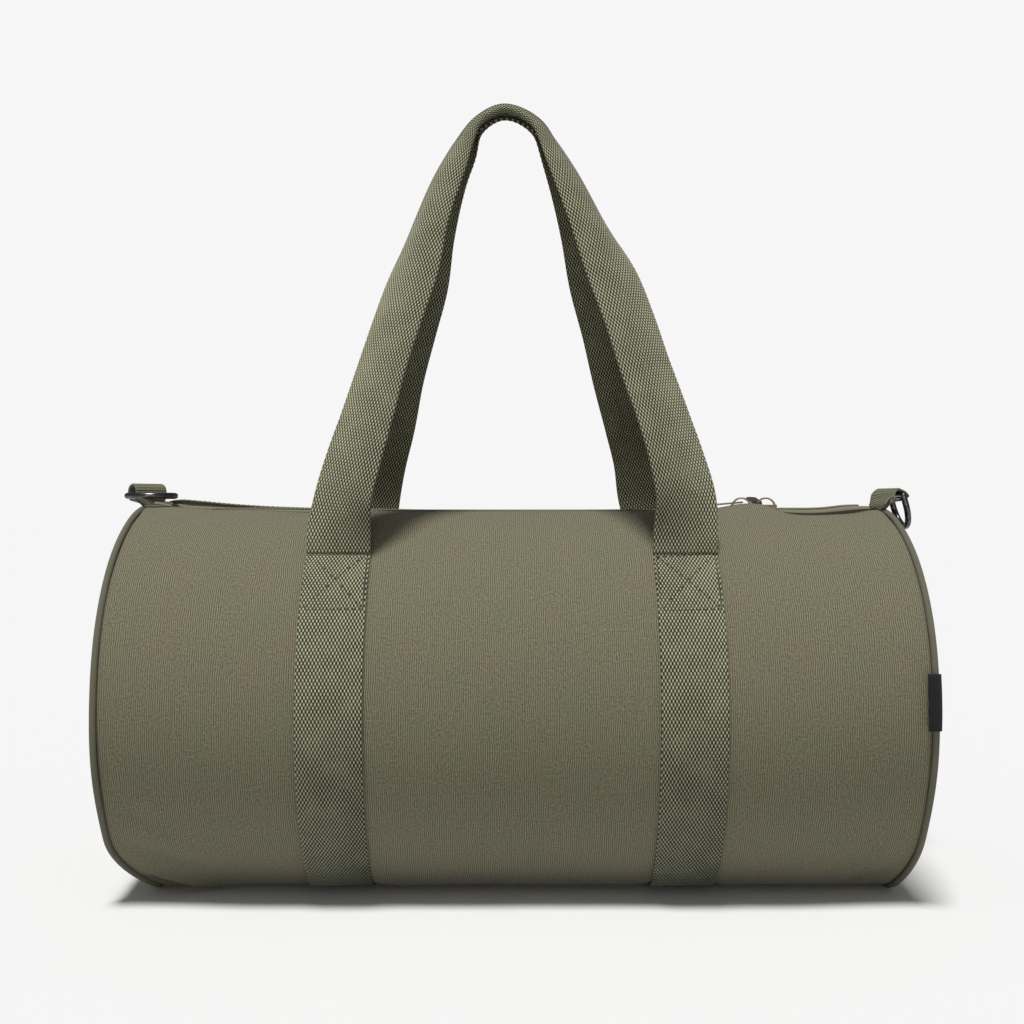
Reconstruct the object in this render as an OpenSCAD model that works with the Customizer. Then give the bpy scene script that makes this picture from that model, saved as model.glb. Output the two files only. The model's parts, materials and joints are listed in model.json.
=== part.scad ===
// Barrel duffel bag with carrying handles, a two-slider zip and D-rings at both ends.
// Millimetres. +Z is up, X runs along the bag, -Y is the front.
// The origin lies on the floor under the middle of the bag.

/* [Body] */
// Length of the cloth barrel between its two end seams
body_len = 492; // [440:4:560]
// Diameter of the barrel
body_d = 250; // [240:2:260]
// Height of the barrel's centre line above the floor, so that the underside is flat
axis_z = 118; // [115:0.5:121]
// Thickness of the body cloth
cloth_t = 1.2; // [0.8:0.1:1.6]

/* [Mouth] */
// Where the opening of the mouth starts, along X
mouth_x0 = -190; // [-195:1:-150]
// Where the opening of the mouth ends, along X
mouth_x1 = 145; // [120:1:146]
// Angle from the top at which the mouth cloth folds back
fold_angle = 33; // [28:1:34]

/* [Zip] */
// Length of the zip tape
tape_len = 444; // [430:2:450]
// Length of the toothed chain
chain_len = 408; // [400:2:410]
// Half of the slot between the cloth edges, where the zip shows
slot_half = 7.5; // [7:0.1:9]
// Centre of the left slider, along X
slider_left_x = 157.3; // [155:0.1:158]
// Centre of the right slider, along X
slider_right_x = 174; // [173:0.1:176]
// Length of a pull from its pivot to its tip
pull_len = 28; // [22:1:32]
// Width of a pull
pull_w = 7; // [6:0.2:7]

/* [Straps] */
// Width of the handle webbing
web_w = 40; // [36:1:44]
// Thickness of the handle webbing
web_t = 2.4; // [1.8:0.1:2.4]
// Distance of each strap from the middle of the bag
strap_x = 108; // [95:1:120]
// Angle from the top at which the handle leaves the barrel
attach_angle = 38.7; // [37:0.1:42]
// Height of the front handle's middle line at its top
grip_z = 514; // [480:1:540]
// How much taller the back handle stands
back_rise = 5.5; // [0:0.5:8]

/* [End trim] */
// Distance of the piping's centre ring from the middle of the bag
rim_x = 248.6; // [248.6:0.1:249]
// Radius of the piping's centre ring
rim_r = 121.5; // [120:0.5:122]
// Radius of the piping
piping_r = 2.5; // [2:0.1:2.5]
// Width of the D-ring tabs
tab_w = 25; // [20:1:25]
// Radius of the D-ring wire
wire_r = 2.1; // [1.8:0.1:2.2]

/* [Hidden] */

canvas = "#7d7963";
webbing = "#6d6b55";
metal = "#3a3a3c";
brass = "#4b3f2c";

// Barrel
body_r = body_d / 2;
body_end = body_len / 2;
top_z = axis_z + body_r;
floor_t = web_t + cloth_t;
mouth_gap = 0.4;
fold_gap = 0.9;
fold_y = (body_r - cloth_t / 2) * sin(fold_angle);
far = 400;
slack = 0.05;

// Zip, measured from the top of the barrel
tape_t = 0.6;
tape_z = top_z - 0.1;
tape_in = 1.2;
tape_flat = 4.4;
tape_out = 14;
chain_z0 = top_z;
chain_z1 = top_z + 2.2;
chain_w = 2.9;
chain_bow = 1.1;
bow_x0 = 153;
bow_x1 = 178;
bow_run = 5.5;
slot_half_len = 225;
stop_len = 4;

// Slider, around its own centre
slider_half = 6.7;
slider_w = 5;
flange_t = 0.7;
plate_low_w = 3.8;
plate_low_z = top_z - 2.5;
plate_low_t = 1.3;
plate_z = top_z + 2.6;
plate_t = 1.4;
flange_z = top_z + 0.7;
post_x = 4.6;
post_half = 0.8;
crown_z = plate_z + plate_t - 1.9;
crown_r = 6.9;
crown_in = 5.8;
crown_w = 2.2;
crown_leg = 5.56;

// Pulls
pull_t = 1.2;
pull_bar_r = 0.6;
pivot_z = plate_z + plate_t + 1.6;
eye_half = 1.75;
eye_len = 6.9;
eye_out = 3.2;
eye_end = 8.4;
pull_slope = 5;
loop_z = plate_z + plate_t + 1.2;
loop_r = 1.8;
loop_out = 3.1;
loop_slope = 8;

// Straps and handles
strap_r = body_r + web_t;
strap_top_angle = attach_angle - 1.2;
hinge_r = strap_r + 1.5;
hinge_y = hinge_r * sin(attach_angle);
hinge_z = axis_z + hinge_r * cos(attach_angle);
leg_x = 98;
leg_y = 62;
leg_z = hinge_z + 83;
turn_x = 40;
turn_y = 12;
grip_y = 9;
grip_w = 14;
grip_t = 8.8;
grip_steps = 28;
// Share of each leg over which the webbing's edge goes from level, at the foot, to square with the leg
foot_level = 0.1;
section_points = 12;

// End trim
rim_z = rim_r + piping_r;
cord_r = 1.5;
piping_wall = 0.9;
end_panel_r = rim_r - piping_r - 0.1;
binding_w = 2.7;
binding_h = 3;
ring_half = tab_w / 2 + 0.3 + wire_r;
ring_leg = 6.6;
sleeve_r = 4.4;
sleeve_fit = 0.08;
tail_t = 2.4;
// Middle of each D-ring's bar, the way that its tab's tail points from there, and the tail's length
left_bar = [-250, 0, 253];
left_tail_angle = -90;
left_tail = 4.85;
right_bar = [264, 0, 253];
right_tail_angle = 202;
right_tail = 14.3;
// The left tab is turned about the vertical, with its front end outwards
left_yaw = -45;
// The right ring hangs outside the bag, this far below level
ring_hang = 75;
label_x0 = 245;
label_x1 = 253.5;
label_low = -2.3;
label_high = 13;
label_t = 1;

// Draws a flat outline given in Y and Z, and runs it from x0 to x1
module along_x(x0, x1) {
    translate([x0, 0, 0])
        rotate([90, 0, 90])
            linear_extrude(x1 - x0)
                children();
}

// A box from its lowest to its highest corner
module box(low, high) {
    translate(low)
        cube(high - low);
}

// The barrel's outline: a circle that the floor cuts flat
module barrel(r, floor_z) {
    intersection() {
        translate([0, axis_z])
            circle(r, $fn = 128);
        translate([-far, floor_z])
            square([2 * far, far]);
    }
}

// The wedge above the barrel's centre line, out to an angle from the top
module top_wedge(angle) {
    polygon([
        [0, axis_z],
        [-far * sin(angle), axis_z + far * cos(angle)],
        [far * sin(angle), axis_z + far * cos(angle)]
    ]);
}

module cloth_shell() {
    along_x(-body_end, body_end)
        difference() {
            barrel(body_r, 0);
            barrel(body_r - cloth_t, floor_t);
        }
}

// The barrel cloth with the zip slot, the mouth window and a bed for each strap under it
module body_panel() {
    window_y = fold_y + fold_gap;
    color(canvas)
        difference() {
            cloth_shell();
            box([mouth_x0 - mouth_gap, -window_y, axis_z], [mouth_x1 + mouth_gap, window_y, far]);
            box([-slot_half_len, -slot_half, axis_z], [slot_half_len, slot_half, far]);
            for (side = [-1, 1])
                box([side * strap_x - web_w / 2 - 0.1, -body_r / 2, -1],
                    [side * strap_x + web_w / 2 + 0.1, body_r / 2, web_t]);
        }
}

// One lip of the mouth, from its fold to the zip
module mouth(side) {
    y_fold = side * (fold_y - fold_gap);
    y_slot = side * slot_half;
    color(canvas)
        intersection() {
            cloth_shell();
            box([mouth_x0, min(y_fold, y_slot), axis_z], [mouth_x1, max(y_fold, y_slot), far]);
        }
}

// A round body about the X axis of an end ring, at distance x from the middle
module rim_turn(x) {
    translate([x, 0, rim_z])
        rotate([0, 90, 0])
            rotate_extrude($fn = 128)
                children();
}

module end_panel(side) {
    color(canvas)
        rim_turn(side * rim_x)
            translate([0, -cloth_t / 2])
                square([end_panel_r, cloth_t]);
}

// Piping cloth wrapped round its cord, open on the side that is sewn into the seam
module piping(side) {
    color(canvas)
        rim_turn(side * rim_x)
            translate([rim_r, 0])
                difference() {
                    circle(piping_r, $fn = 32);
                    circle(piping_r - piping_wall, $fn = 32);
                    translate([-0.15, side > 0 ? -far : 0])
                        square([0.3, far]);
                }
}

module piping_cord(side) {
    color("#d8d3c4")
        rim_turn(side * rim_x)
            translate([rim_r, 0])
                circle(cord_r, $fn = 32);
}

// Binding tape round the raw edges of the end seam, inside the barrel
module seam_binding(side) {
    x_out = side * (body_end - 0.1);
    x_in = side * (body_end - 0.1 - binding_w);
    r_out = body_r - cloth_t - 0.2;
    color("#3b3a30")
        along_x(min(x_out, x_in), max(x_out, x_in))
            difference() {
                barrel(r_out, floor_t + 0.2);
                barrel(r_out - binding_h, floor_t + 0.2 + binding_h);
            }
}

// Webbing sewn round the barrel, from one handle's foot under the bag to the other's
module girth_strap(side) {
    x_mid = side * strap_x;
    color(webbing)
        along_x(x_mid - web_w / 2, x_mid + web_w / 2)
            difference() {
                barrel(strap_r, 0);
                barrel(body_r + slack, web_t - slack);
                top_wedge(strap_top_angle);
            }
}

// One side of the zip tape: sewn under the cloth edge and rising to carry the chain
module zip_tape(side) {
    r_in = body_r - cloth_t;
    under = axis_z + sqrt(r_in * r_in - tape_out * tape_out) - 0.3;
    edge = axis_z + sqrt(r_in * r_in - slot_half * slot_half) - 0.25;
    top = [[tape_out, under], [slot_half + 0.1, edge], [tape_flat, tape_z], [tape_in, tape_z]];
    low = [for (i = [len(top) - 1:-1:0]) top[i] - [0, tape_t]];
    color("#6f6c58")
        along_x(-tape_len / 2, tape_len / 2)
            polygon([for (p = concat(top, low)) [side * p[0], p[1]]]);
}

// One half of the toothed chain; it bows round the guide posts of the two sliders
module zip_chain(side) {
    half = chain_len / 2;
    plan = [
        [-half, 0], [bow_x0, 0], [bow_x0 + bow_run, chain_bow],
        [bow_x1 - bow_run, chain_bow], [bow_x1, 0], [half, 0]
    ];
    inner = [for (p = plan) [p[0], side * (p[1] + slack)]];
    outer = [for (i = [len(plan) - 1:-1:0]) [plan[i][0], side * (plan[i][1] + chain_w)]];
    color("#5d5b49")
        translate([0, 0, chain_z0])
            linear_extrude(chain_z1 - chain_z0)
                polygon(concat(inner, outer));
}

// Metal stop clamped over the end of the chain
module zip_stop(side) {
    x_in = side * (chain_len / 2 + 0.2);
    x_out = side * (chain_len / 2 + 0.2 + stop_len);
    color(brass)
        box([min(x_in, x_out), -chain_w, tape_z + slack], [max(x_in, x_out), chain_w, chain_z1 + 0.3]);
}

// Slider body: two plates joined by a guide post, side flanges, and an arched crown.
// post_side says at which end the two halves of the chain part.
module slider(x, post_side) {
    post_mid = post_side * post_x;
    color(brass)
        translate([x, 0, 0]) {
            box([-slider_half, -plate_low_w, plate_low_z],
                [slider_half, plate_low_w, plate_low_z + plate_low_t]);
            box([post_mid - 1.2, -post_half, plate_low_z], [post_mid + 1.2, post_half, plate_z + plate_t]);
            box([-slider_half, -slider_w, plate_z], [slider_half, slider_w, plate_z + plate_t]);
            for (side = [-1, 1])
                translate([0, side * (slider_w - flange_t / 2), (flange_z + plate_z + plate_t) / 2])
                    cube([2 * slider_half, flange_t, plate_z + plate_t - flange_z], center = true);
            intersection() {
                translate([0, 0, crown_z])
                    rotate([90, 0, 0])
                        linear_extrude(crown_w, center = true)
                            difference() {
                                circle(crown_r, $fn = 64);
                                circle(crown_in, $fn = 64);
                            }
                box([-far, -far, plate_z + plate_t - slack], [far, far, far]);
            }
        }
}

// Flat pull with a long eye; its bar runs through the crown and lies on the Y axis
module pull_left() {
    color(brass)
        translate([slider_left_x, 0, pivot_z])
            rotate([0, -pull_slope, 0]) {
                rotate([90, 0, 0])
                    cylinder(r = pull_bar_r, h = 2 * eye_half + 1, center = true, $fn = 32);
                translate([0, 0, -pull_t / 2])
                    linear_extrude(pull_t)
                        difference() {
                            union() {
                                translate([-eye_end, -eye_out])
                                    square([eye_end + pull_bar_r, 2 * eye_out]);
                                translate([-pull_len + pull_w / 2, -pull_w / 2])
                                    square([pull_len - pull_w / 2 - eye_end + 0.5, pull_w]);
                                translate([-pull_len + pull_w / 2, 0])
                                    circle(pull_w / 2, $fn = 48);
                            }
                            translate([-eye_len, -eye_half])
                                square([2 * eye_len, 2 * eye_half]);
                        }
            }
}

// The same pull flopped to the back, its eye looped round one foot of the crown
module pull_right() {
    color(brass)
        translate([slider_right_x - crown_leg, 0, loop_z])
            rotate([loop_slope, 0, 0])
                translate([0, 0, -pull_t / 2])
                    linear_extrude(pull_t)
                        difference() {
                            union() {
                                circle(loop_out, $fn = 48);
                                translate([-pull_w / 2, loop_out])
                                    square([pull_w, pull_len - pull_w / 2 - loop_out]);
                                translate([-loop_out, 0])
                                    square([2 * loop_out, loop_out + 0.5]);
                                translate([0, pull_len - pull_w / 2])
                                    circle(pull_w / 2, $fn = 48);
                            }
                            circle(loop_r, $fn = 48);
                        }
}

function mix(a, b, t) = a + (b - a) * t;
function unit(v) = v / norm(v);

// Middle line of a handle leg, from its foot (t = 0) to the top of the grip (t = 1)
function bezier(p, t) =
    pow(1 - t, 3) * p[0] + 3 * t * pow(1 - t, 2) * p[1] + 3 * t * t * (1 - t) * p[2] + pow(t, 3) * p[3];

function leg_points(rise) = [
    [-strap_x, -hinge_y, hinge_z],
    [-leg_x, -leg_y, leg_z],
    [-turn_x, -turn_y, grip_z + rise],
    [0, -grip_y, grip_z + rise]
];

// Middle line of the whole handle, u from 0 (left foot) to 1 (right foot)
function handle_at(rise, u) =
    let (p = bezier(leg_points(rise), u < 0.5 ? 2 * u : 2 - 2 * u))
    u < 0.5 ? p : [-p[0], p[1], p[2]];

// One ring of the handle: flat webbing at the foot that turns and gathers into a grip
function handle_ring(rise, u) =
    let (
        t = u < 0.5 ? 2 * u : 2 - 2 * u,
        step = 0.002,
        u0 = max(u - step, 0),
        u1 = min(u + step, 1),
        run = handle_at(rise, u1) - handle_at(rise, u0),
        along = unit([run[0] * min(1, t / foot_level), run[1], run[2]]),
        turn = 90 * pow(t, 1.3),
        inward = [along[2], 0, -along[0]],
        raw = cos(turn) * inward + sin(turn) * [0, -1, 0],
        across = unit(raw - (raw * along) * along),
        out = cross(along, across),
        w = mix(web_w, grip_w, pow(t, 0.9)) / 2,
        h = mix(web_t, grip_t, pow(t, 1.6)) / 2,
        e = mix(0.35, 1, t)
    )
    [for (k = [0:section_points - 1])
        let (a = 360 * k / section_points, c = cos(a), s = sin(a))
        handle_at(rise, u) + across * w * sign(c) * pow(abs(c), e) + out * h * sign(s) * pow(abs(s), e)];

module handle(rise) {
    count = 2 * grip_steps;
    n = section_points;
    points = [for (i = [0:count]) each handle_ring(rise, i / count)];
    sides = [for (i = [0:count - 1], k = [0:n - 1])
        [i * n + k, i * n + (k + 1) % n, (i + 1) * n + (k + 1) % n, (i + 1) * n + k]];
    foot = [for (k = [n - 1:-1:0]) k];
    head = [for (k = [0:n - 1]) count * n + k];
    polyhedron(points, concat(sides, [foot, head]), convexity = 4);
}

module handle_front() {
    color(webbing)
        handle(0);
}

module handle_back() {
    color(webbing)
        mirror([0, 1, 0])
            handle(back_rise);
}

// Webbing loop that holds a D-ring: a sleeve round the bar and a double tail to the seam
module ring_tab(bar, yaw, tail_angle, tail_len) {
    color(webbing)
        translate(bar)
            rotate([90, 0, yaw])
                linear_extrude(tab_w, center = true)
                    difference() {
                        union() {
                            circle(sleeve_r, $fn = 64);
                            rotate(tail_angle)
                                translate([0, -tail_t / 2])
                                    square([tail_len, tail_t]);
                        }
                        circle(wire_r + sleeve_fit, $fn = 64);
                    }
}

// D-ring with its bar on the Y axis and its bow towards +X
module d_ring_shape() {
    rotate([90, 0, 0])
        cylinder(r = wire_r, h = 2 * ring_half, center = true, $fn = 48);
    for (side = [-1, 1])
        translate([0, side * ring_half, 0]) {
            sphere(wire_r, $fn = 48);
            rotate([0, 90, 0])
                cylinder(r = wire_r, h = ring_leg, $fn = 48);
        }
    translate([ring_leg, 0, 0])
        rotate([0, 0, -90])
            rotate_extrude(angle = 180, $fn = 96)
                translate([ring_half, 0])
                    circle(wire_r, $fn = 48);
}

module d_ring_left() {
    color(metal)
        translate(left_bar)
            rotate([0, 0, left_yaw])
                d_ring_shape();
}

module d_ring_right() {
    color(metal)
        translate(right_bar)
            rotate([0, ring_hang, 0])
                d_ring_shape();
}

// Folded cloth tag in the front of the right end seam
module side_label() {
    r_in = body_r + 0.4;
    color("#1c1c1e")
        along_x(label_x0, label_x1)
            difference() {
                intersection() {
                    translate([0, axis_z])
                        circle(r_in + label_t, $fn = 128);
                    polygon([
                        [0, axis_z],
                        [-far * cos(label_low), axis_z + far * sin(label_low)],
                        [-far * cos(label_high), axis_z + far * sin(label_high)]
                    ]);
                }
                translate([0, axis_z])
                    circle(r_in, $fn = 128);
            }
}

body_panel();
end_panel(-1);  // end_panel_left
end_panel(1);  // end_panel_right
piping(-1);  // piping_left
piping(1);  // piping_right
piping_cord(-1);  // piping_cord_left
piping_cord(1);  // piping_cord_right
seam_binding(-1);  // seam_binding_left
seam_binding(1);  // seam_binding_right
girth_strap(-1);  // girth_strap_left
girth_strap(1);  // girth_strap_right
mouth(-1);  // mouth_front
mouth(1);  // mouth_back
zip_tape(-1);  // zip_tape_front
zip_tape(1);  // zip_tape_back
zip_chain(-1);  // zip_chain_front
zip_chain(1);  // zip_chain_back
zip_stop(-1);  // zip_stop_left
zip_stop(1);  // zip_stop_right
slider(slider_left_x, 1);  // slider_left
slider(slider_right_x, -1);  // slider_right
pull_left();
pull_right();
handle_front();
handle_back();
ring_tab(left_bar, left_yaw, left_tail_angle, left_tail);  // ring_tab_left
ring_tab(right_bar, 0, right_tail_angle, right_tail);  // ring_tab_right
d_ring_left();
d_ring_right();
side_label();
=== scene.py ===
"""The looks of a barrel duffel bag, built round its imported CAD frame.

Metres, +Z up, X along the bag, -Y is the front. Angles round the barrel are measured from its top,
positive towards the front.
"""

import json
import math

import bmesh
import bpy
import numpy as np
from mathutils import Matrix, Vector


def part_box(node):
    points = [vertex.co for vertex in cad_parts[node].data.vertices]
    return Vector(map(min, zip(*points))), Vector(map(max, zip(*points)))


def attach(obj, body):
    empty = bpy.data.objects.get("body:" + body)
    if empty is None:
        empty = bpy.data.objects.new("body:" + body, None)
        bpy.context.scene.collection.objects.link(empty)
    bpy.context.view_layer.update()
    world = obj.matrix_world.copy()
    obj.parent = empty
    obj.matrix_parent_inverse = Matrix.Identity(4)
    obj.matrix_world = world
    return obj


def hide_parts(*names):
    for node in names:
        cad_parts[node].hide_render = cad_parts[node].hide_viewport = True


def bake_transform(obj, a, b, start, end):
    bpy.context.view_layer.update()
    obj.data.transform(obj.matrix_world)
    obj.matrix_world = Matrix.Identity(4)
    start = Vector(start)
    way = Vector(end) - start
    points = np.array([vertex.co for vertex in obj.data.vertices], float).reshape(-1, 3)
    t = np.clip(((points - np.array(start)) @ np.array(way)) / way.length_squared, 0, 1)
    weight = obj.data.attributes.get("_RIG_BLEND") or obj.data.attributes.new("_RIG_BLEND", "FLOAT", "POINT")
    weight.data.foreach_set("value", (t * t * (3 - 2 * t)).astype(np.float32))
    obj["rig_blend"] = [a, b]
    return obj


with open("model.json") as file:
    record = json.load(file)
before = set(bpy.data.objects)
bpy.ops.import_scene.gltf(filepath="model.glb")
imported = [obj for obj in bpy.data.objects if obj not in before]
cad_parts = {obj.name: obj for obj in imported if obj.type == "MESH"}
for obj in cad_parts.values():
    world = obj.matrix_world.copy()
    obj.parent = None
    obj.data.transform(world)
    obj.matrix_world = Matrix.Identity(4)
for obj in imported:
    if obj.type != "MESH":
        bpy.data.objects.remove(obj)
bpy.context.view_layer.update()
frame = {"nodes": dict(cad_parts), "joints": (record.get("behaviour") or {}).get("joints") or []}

MM = 0.001
ENDS = ((-1, "left"), (1, "right"))
FACES = ((-1, "front"), (1, "back"))
JOINTS = {joint["name"]: joint for joint in frame["joints"]}

# ---------------------------------------------------------------- sizes read from the frame
body_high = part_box("body_panel")[1]
BODY_END = body_high.x
BODY_R = body_high.y
TOP_Z = body_high.z
AXIS_Z = TOP_Z - BODY_R
rim_low, rim_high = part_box("piping_right")
RIM_R = (rim_high.y - rim_low.y) / 2
RIM_Z = (rim_high.z + rim_low.z) / 2
PIPING_R = (rim_high.x - rim_low.x) / 2
cord_low, cord_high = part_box("piping_cord_right")
CORD_SEEN = 0.8 * ((cord_high.x - cord_low.x) / 2 - 0.05 * MM)
# The stuffed bag hides part of its piping, so what shows is thinner than the CAD's
PIPING_SEEN = 0.8 * PIPING_R
strap_low, strap_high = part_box("girth_strap_right")
STRAP_X = (strap_low.x + strap_high.x) / 2
STRAP_W = strap_high.x - strap_low.x
WEB_T = strap_high.y - BODY_R
HINGE_Y = JOINTS["handle_back_fold"]["pos_m"][1]
HINGE_Z = JOINTS["handle_back_fold"]["pos_m"][2]
FOLD_Y = JOINTS["lip_back_fold"]["pos_m"][1]
ATTACH = math.atan2(HINGE_Y, HINGE_Z - AXIS_Z)
FOLD = math.asin(FOLD_Y / BODY_R)
SLOT_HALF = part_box("mouth_back")[0].y
SLOT = math.asin(SLOT_HALF / BODY_R)
CHAIN_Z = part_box("zip_chain_back")[1].z
SLIDER_X = [sum(corner.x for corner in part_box(f"slider_{word}")) / 2 for word in ("left", "right")]
RING_BAR = {side: np.array(JOINTS[f"ring_{word}_swing"]["pos_m"]) for side, word in ENDS}
TAU = 2 * math.pi


def at_end(name, side):
    """The name of a piece at the left end, -1, or the right end, 1."""
    return f"{name}_{dict(ENDS)[side]}"


def at_face(name, side):
    """The name of a piece at the front, -1, or the back, 1."""
    return f"{name}_{dict(FACES)[side]}"


def smooth(t):
    """Runs from 0 to 1 with no corner at either end."""
    t = np.clip(t, 0, 1)
    return t * t * (3 - 2 * t)


# ---------------------------------------------------------------- mesh tools
def grid_object(name, points, uv, wrap_rows=False, wrap_cols=False, caps=False):
    """A mesh over a grid of points. uv has one more row or column than points where the grid wraps."""
    rows, cols = points.shape[:2]
    i, j = np.meshgrid(np.arange(rows if wrap_rows else rows - 1),
                       np.arange(cols if wrap_cols else cols - 1), indexing="ij")
    i, j = i.ravel(), j.ravel()
    next_i, next_j = (i + 1) % rows, (j + 1) % cols
    quads = np.stack([i * cols + j, i * cols + next_j, next_i * cols + next_j, next_i * cols + j], 1)
    corners = np.stack([uv[i, j], uv[i, j + 1], uv[i + 1, j + 1], uv[i + 1, j]], 1).reshape(-1, 2)
    faces = quads.tolist()
    if caps:
        last = (rows - 1) * cols
        faces.append(list(range(cols))[::-1])
        faces.append([last + k for k in range(cols)])
        corners = np.concatenate([corners, uv[0, :cols][::-1], uv[rows - 1, :cols]])
    mesh = bpy.data.meshes.new(name)
    mesh.from_pydata(points.reshape(-1, 3).tolist(), [], faces)
    layer = mesh.uv_layers.new(name="UVMap")
    layer.data.foreach_set("uv", corners.astype(np.float32).ravel())
    return finished_object(name, mesh)


def finished_object(name, mesh):
    """Links a mesh, turns its faces outwards and shades it smooth."""
    work = bmesh.new()
    work.from_mesh(mesh)
    bmesh.ops.recalc_face_normals(work, faces=work.faces)
    work.to_mesh(mesh)
    work.free()
    mesh.polygons.foreach_set("use_smooth", [True] * len(mesh.polygons))
    mesh.update()
    return linked(name, mesh)


def linked(name, data):
    """A new object of the scene."""
    obj = bpy.data.objects.new(name, data)
    bpy.context.scene.collection.objects.link(obj)
    return obj


def applied(obj):
    """Replaces the object's mesh by what its modifiers make of it."""
    bpy.context.view_layer.update()
    graph = bpy.context.evaluated_depsgraph_get()
    mesh = bpy.data.meshes.new_from_object(obj.evaluated_get(graph))
    obj.modifiers.clear()
    obj.data = mesh
    return obj


def thickened(obj, thickness):
    """Gives a sheet its thickness, inwards from the side that its faces point to."""
    solid = obj.modifiers.new("thickness", "SOLIDIFY")
    solid.thickness = thickness
    solid.offset = -1
    solid.use_even_offset = False
    return applied(obj)


def unit(v):
    return v / np.linalg.norm(v, axis=-1, keepdims=True)


def tangents(path, closed=False):
    """Unit direction of a path at each of its points."""
    if closed:
        return unit(np.roll(path, -1, 0) - np.roll(path, 1, 0))
    return unit(np.gradient(path, axis=0))


def run_along(path):
    """Distance run along a path at each of its points."""
    return np.concatenate([[0], np.cumsum(np.linalg.norm(np.diff(path, axis=0), axis=1))])


def at_distance(distance, run, values):
    """Rows of values that are known at the distances run, read at other distances."""
    return np.stack([np.interp(distance, run, column) for column in values.T], 1)


def resampled(path, step):
    """The same path with evenly spaced points, about step apart."""
    run = run_along(path)
    return at_distance(np.linspace(0, run[-1], max(2, int(round(run[-1] / step)) + 1)), run, path)


def tube(name, path, radius, sides=12, closed=False, up=(0, 0, 1)):
    """A round tube along a path, with rounded-over ends where it isn't closed."""
    path = np.array(path, float)
    along = tangents(path, closed)
    side = unit(np.cross(along, np.array(up, float)))
    over = np.cross(side, along)
    turn = np.linspace(0, TAU, sides, endpoint=False)
    radii = np.full(len(path), radius)
    if not closed:
        radii[0] *= 0.55
        radii[-1] *= 0.55
    ring = (side[:, None] * np.cos(turn)[:, None] + over[:, None] * np.sin(turn)[:, None])
    points = path[:, None] + ring * radii[:, None, None]
    run = run_along(path)
    if closed:
        run = np.append(run, run[-1] + np.linalg.norm(path[0] - path[-1]))
    uv = np.stack(np.meshgrid(np.linspace(0, TAU * radius, sides + 1), run), -1)
    return grid_object(name, points, uv, closed, True, caps=not closed)


def capsules(name, starts, ends, outs, width, height):
    """Many small rounded bars as one mesh, such as stitches. outs says which way each one's top faces."""
    lat = np.linspace(-math.pi / 2, math.pi / 2, 5)
    lon = np.linspace(0, TAU, 6, endpoint=False)
    body = np.array([[math.sin(a), math.cos(a) * math.cos(b), math.cos(a) * math.sin(b)]
                     for a in lat for b in lon])
    starts, ends, outs = (np.array(v, float) for v in (starts, ends, outs))
    along = (ends - starts) / 2
    side = unit(np.cross(outs, along)) * width / 2
    top = unit(outs) * height / 2
    middle = (starts + ends) / 2
    points = (middle[:, None] + along[:, None] * body[None, :, :1]
              + side[:, None] * body[None, :, 1:2] + top[:, None] * body[None, :, 2:])
    n = len(lon)
    quads = np.array([[r * n + k, r * n + (k + 1) % n, (r + 1) * n + (k + 1) % n, (r + 1) * n + k]
                      for r in range(len(lat) - 1) for k in range(n)])
    faces = (quads[None] + (np.arange(len(starts)) * len(body))[:, None, None]).reshape(-1, 4)
    mesh = bpy.data.meshes.new(name)
    mesh.from_pydata(points.reshape(-1, 3).tolist(), [], faces.tolist())
    return finished_object(name, mesh)


def dashes(points, outs, stitch=3.0 * MM, gap=1.2 * MM):
    """Start, end and facing of each stitch along a line of points that lies on a surface."""
    points, outs = np.array(points, float), np.array(outs, float)
    run = run_along(points)
    count = max(1, int(run[-1] / (stitch + gap)))
    begin = np.arange(count) * run[-1] / count
    return (at_distance(begin, run, points), at_distance(begin + stitch, run, points),
            at_distance(begin + stitch / 2, run, outs))


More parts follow.
